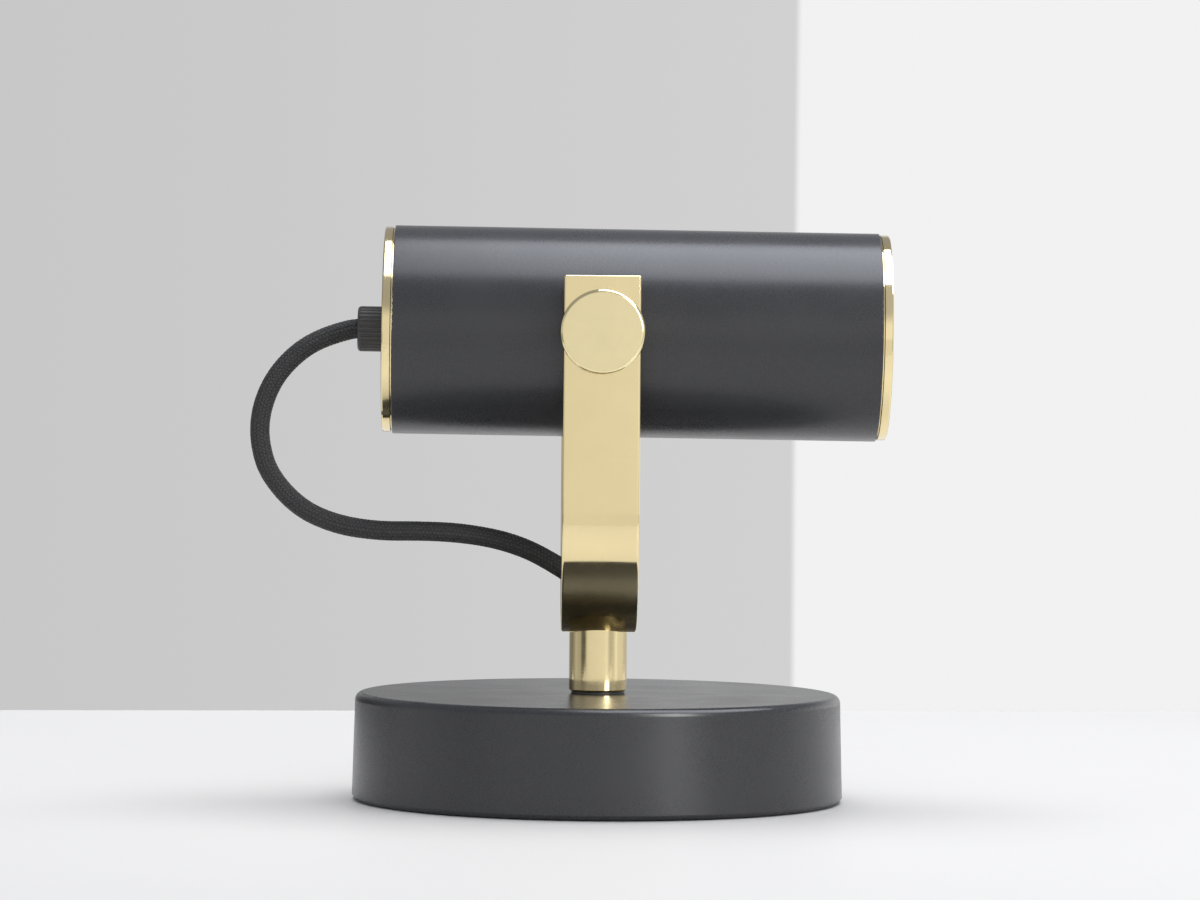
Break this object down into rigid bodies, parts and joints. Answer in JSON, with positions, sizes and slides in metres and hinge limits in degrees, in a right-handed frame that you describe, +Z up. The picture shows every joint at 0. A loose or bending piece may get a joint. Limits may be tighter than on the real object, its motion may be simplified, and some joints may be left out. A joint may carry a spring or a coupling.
{
  "type": "tabletop searchlight lamp",
  "caption": "Tabletop lamp with a tubular head tilting in a U-shaped brass yoke on a short swivelling post and a round weighted base.",
  "frame": {"origin": "centre of the foot pad's underside, on the swivel axis", "axes": "+Z up along the post, +X the way the light shines at rest, yoke arms at -Y and +Y"},
  "size_m": [0.2142, 0.1665, 0.1928],
  "materials": {
    "charcoal_coat": "satin powder coat",
    "polished_brass": "polished and lacquered",
    "turned_brass": "turned",
    "zinc_steel": "zinc plated",
    "iron": "black lacquer",
    "pad_foam": "matt foam rubber",
    "black_rubber": "matt",
    "black_nylon": "moulded",
    "white_plastic": "moulded",
    "cord_braid": "braided textile sleeve",
    "core_insulation": "extruded",
    "ceramic": "glazed ceramic",
    "bulb_mirror": "facetted reflector",
    "bulb_glass": "clear"
  },
  "bodies": {
    "base": {"base_shell": "charcoal_coat", "standoffs": "zinc_steel", "base_bolts": "zinc_steel", "bottom_plate": "zinc_steel", "ballast": "iron", "foot_pad": "pad_foam", "swivel_bush": "turned_brass", "stop_pin": "zinc_steel", "outlet_grommet": "black_rubber", "cord_clamp_lower": "black_nylon", "cord_clamp_upper": "black_nylon", "cord_clamp_screws": "zinc_steel", "terminal_block": "white_plastic", "terminal_tubes": "turned_brass", "terminal_screws": "zinc_steel", "cord_in_post": "cord_braid", "base_wires": "core_insulation", "earth_screw_and_lug": "zinc_steel"},
    "yoke": {"post": "polished_brass", "post_rod": "zinc_steel", "post_foot_washer": "black_nylon", "slip_washer": "black_nylon", "disc_spring": "zinc_steel", "stop_plate": "zinc_steel", "swivel_nuts": "zinc_steel", "yoke_strap": "polished_brass", "yoke_nut": "polished_brass", "cord_bush": "black_nylon", "linking_cord": "cord_braid"},
    "head": {"shade_tube": "charcoal_coat", "front_ring": "polished_brass", "rear_cap": "polished_brass", "pivot_saddles": "zinc_steel", "pivot_bosses": "turned_brass", "friction_washers": "black_nylon", "gland_nipple": "black_nylon", "gland_grip": "black_rubber", "gland_nut": "black_nylon", "gland_locknut": "black_nylon", "cord_in_gland": "cord_braid", "holder_plate": "zinc_steel", "carrier_rods": "zinc_steel", "carrier_nuts": "zinc_steel", "lampholder": "ceramic", "lampholder_contacts": "turned_brass", "lampholder_screws": "zinc_steel", "head_earth_screw": "zinc_steel", "head_wires": "core_insulation", "bulb_neck": "ceramic", "bulb_pins": "zinc_steel", "bulb_reflector": "bulb_mirror", "bulb_glass": "bulb_glass", "bulb_capsule": "bulb_glass"},
    "front_washer": {"clamp_washer_front": "turned_brass"},
    "front_knob": {"knob_front": "polished_brass", "knob_stud_front": "zinc_steel"},
    "back_washer": {"clamp_washer_back": "turned_brass"},
    "back_knob": {"knob_back": "polished_brass", "knob_stud_back": "zinc_steel"}
  },
  "joints": [
    {"name": "base_swivel", "type": "hinge", "parent": "base", "child": "yoke", "pos_m": [0, 0, 0.036], "axis": [0, 0, 1], "range_deg": [-160, 160]},
    {"name": "head_tilt", "type": "hinge", "parent": "yoke", "child": "head", "pos_m": [0, 0, 0.1572], "axis": [0, 1, 0], "range_deg": [-30, 45], "deforming": ["linking_cord"]},
    {"name": "knob_front_travel", "type": "slide", "parent": "head", "child": "front_washer", "axis": [0, -1, 0], "range_m": [0, 0.001]},
    {"name": "knob_front_turn", "type": "hinge", "parent": "front_washer", "child": "front_knob", "pos_m": [0, -0.047, 0.1572], "axis": [0, -1, 0], "range_deg": [0, 360]},
    {"name": "knob_back_travel", "type": "slide", "parent": "head", "child": "back_washer", "axis": [0, 1, 0], "range_m": [0, 0.001]},
    {"name": "knob_back_turn", "type": "hinge", "parent": "back_washer", "child": "back_knob", "pos_m": [0, 0.047, 0.1572], "axis": [0, 1, 0], "range_deg": [0, 360]}
  ],
  "couplings": [
    {"joint": "knob_front_turn", "follows": "knob_front_travel", "rad_per_m": 6283},
    {"joint": "knob_back_turn", "follows": "knob_back_travel", "rad_per_m": 6283}
  ]
}
